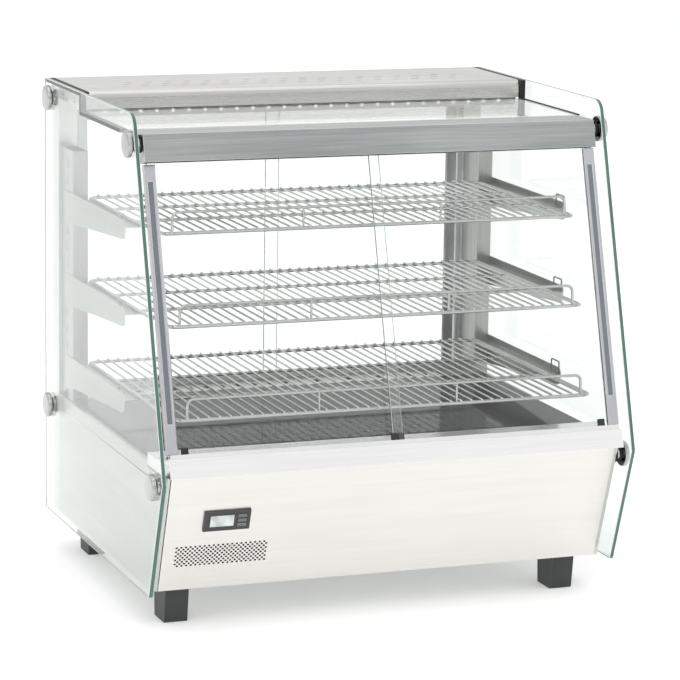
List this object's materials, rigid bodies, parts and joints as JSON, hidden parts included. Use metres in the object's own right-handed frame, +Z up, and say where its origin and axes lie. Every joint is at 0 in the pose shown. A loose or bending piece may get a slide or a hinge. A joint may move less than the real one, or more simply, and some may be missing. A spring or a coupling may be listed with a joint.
{
  "type": "heated food display case",
  "caption": "Countertop heated display case: leaning glass ends, sliding glass doors front and rear, wire shelves on brackets, and a control base on feet.",
  "frame": {"origin": "centre of the footprint, on the surface that the feet stand on", "axes": "+X to the right seen from the front, +Y towards the rear doors, +Z up"},
  "size_m": [0.692, 0.5718, 0.686],
  "materials": {
    "satin_steel": "satin",
    "brushed_rail": "brushed along its length",
    "aluminium": "anodised",
    "chrome": "bright",
    "clear_glass": "polished",
    "floor_glass": "black glass, polished",
    "black_rubber": "matte",
    "black_plastic": "matte",
    "charcoal_plastic": "fine grain",
    "grey_keys": "matte",
    "red_rocker": "gloss",
    "display_window": "gloss",
    "led_white": "frosted",
    "heater_sheath": "heat darkened",
    "ivory_plastic": "matte"
  },
  "bodies": {
    "cabinet": {"bottom_pan": "satin_steel", "base_side_left": "satin_steel", "base_side_right": "satin_steel", "front_panel": "satin_steel", "rear_panel": "satin_steel", "front_sill": "brushed_rail", "deck_frame": "satin_steel", "deck_plate": "floor_glass", "rear_post_left": "satin_steel", "rear_post_right": "satin_steel", "upright_left": "brushed_rail", "upright_right": "brushed_rail", "canopy": "satin_steel", "lamp_pan": "satin_steel", "led_strip": "led_white", "top_glass": "clear_glass", "top_rail": "brushed_rail", "side_glass_left": "clear_glass", "side_glass_right": "clear_glass", "gasket_left": "black_rubber", "gasket_right": "black_rubber", "glass_bolts": "chrome", "glass_bushes": "black_rubber", "front_upper_track": "aluminium", "front_lower_track": "aluminium", "rear_upper_track": "aluminium", "rear_lower_track": "aluminium", "brackets_left": "brushed_rail", "brackets_right": "brushed_rail", "heater_element": "heater_sheath", "heater_clips": "satin_steel", "fan_frame": "black_plastic", "tray_guides": "satin_steel", "terminal_block": "ivory_plastic", "led_driver": "ivory_plastic", "controller_case": "charcoal_plastic", "controller_lens": "display_window", "rocker_frames": "black_plastic", "power_inlet": "black_plastic", "feet": "charcoal_plastic"},
    "front_door_left_body": {"front_door_left": "clear_glass", "front_grip_left": "aluminium", "front_glides_left": "black_plastic"},
    "front_door_right_body": {"front_door_right": "clear_glass", "front_grip_right": "aluminium", "front_glides_right": "black_plastic"},
    "rear_door_left_body": {"rear_door_left": "clear_glass", "rear_grip_left": "aluminium"},
    "rear_door_right_body": {"rear_door_right": "clear_glass", "rear_grip_right": "aluminium"},
    "shelf_top_body": {"shelf_top": "chrome"},
    "shelf_middle_body": {"shelf_middle": "chrome"},
    "shelf_bottom_body": {"shelf_bottom": "chrome"},
    "fan_body": {"fan_rotor": "charcoal_plastic"},
    "tray_body": {"water_tray": "satin_steel"},
    "key_up": {"button_up": "grey_keys"},
    "key_down": {"button_down": "grey_keys"},
    "key_set": {"button_set": "grey_keys"},
    "power_rocker_body": {"power_rocker": "red_rocker"},
    "lamp_rocker_body": {"lamp_rocker": "red_rocker"}
  },
  "joints": [
    {"name": "front_door_left_slide", "type": "slide", "parent": "cabinet", "child": "front_door_left_body", "axis": [1, 0, 0], "range_m": [0, 0.29]},
    {"name": "front_door_right_slide", "type": "slide", "parent": "cabinet", "child": "front_door_right_body", "axis": [1, 0, 0], "range_m": [-0.29, 0]},
    {"name": "rear_door_left_slide", "type": "slide", "parent": "cabinet", "child": "rear_door_left_body", "axis": [1, 0, 0], "range_m": [0, 0.265]},
    {"name": "rear_door_right_slide", "type": "slide", "parent": "cabinet", "child": "rear_door_right_body", "axis": [1, 0, 0], "range_m": [-0.265, 0]},
    {"name": "shelf_top_lift", "type": "slide", "parent": "cabinet", "child": "shelf_top_body", "axis": [0, 0, 1], "range_m": [0, 0.012]},
    {"name": "shelf_middle_lift", "type": "slide", "parent": "cabinet", "child": "shelf_middle_body", "axis": [0, 0, 1], "range_m": [0, 0.012]},
    {"name": "shelf_bottom_lift", "type": "slide", "parent": "cabinet", "child": "shelf_bottom_body", "axis": [0, 0, 1], "range_m": [0, 0.012]},
    {"name": "tray_slide", "type": "slide", "parent": "cabinet", "child": "tray_body", "axis": [0, 1, 0], "range_m": [0, 0.15]},
    {"name": "fan_spin", "type": "hinge", "parent": "cabinet", "child": "fan_body", "pos_m": [-0.205, 0.262, 0.131], "axis": [0, 1, 0], "continuous": true},
    {"name": "key_up_press", "type": "slide", "parent": "cabinet", "child": "key_up", "axis": [0, 0.9446, 0.3281], "range_m": [0, 0.001], "stiffness_N_per_m": 400},
    {"name": "key_down_press", "type": "slide", "parent": "cabinet", "child": "key_down", "axis": [0, 0.9446, 0.3281], "range_m": [0, 0.001], "stiffness_N_per_m": 400},
    {"name": "key_set_press", "type": "slide", "parent": "cabinet", "child": "key_set", "axis": [0, 0.9446, 0.3281], "range_m": [0, 0.001], "stiffness_N_per_m": 400},
    {"name": "power_rocker_tilt", "type": "hinge", "parent": "cabinet", "child": "power_rocker_body", "pos_m": [0.196, 0.278, 0.131], "axis": [1, 0, 0], "range_deg": [0, 22]},
    {"name": "lamp_rocker_tilt", "type": "hinge", "parent": "cabinet", "child": "lamp_rocker_body", "pos_m": [0.23, 0.278, 0.131], "axis": [1, 0, 0], "range_deg": [0, 22]}
  ]
}
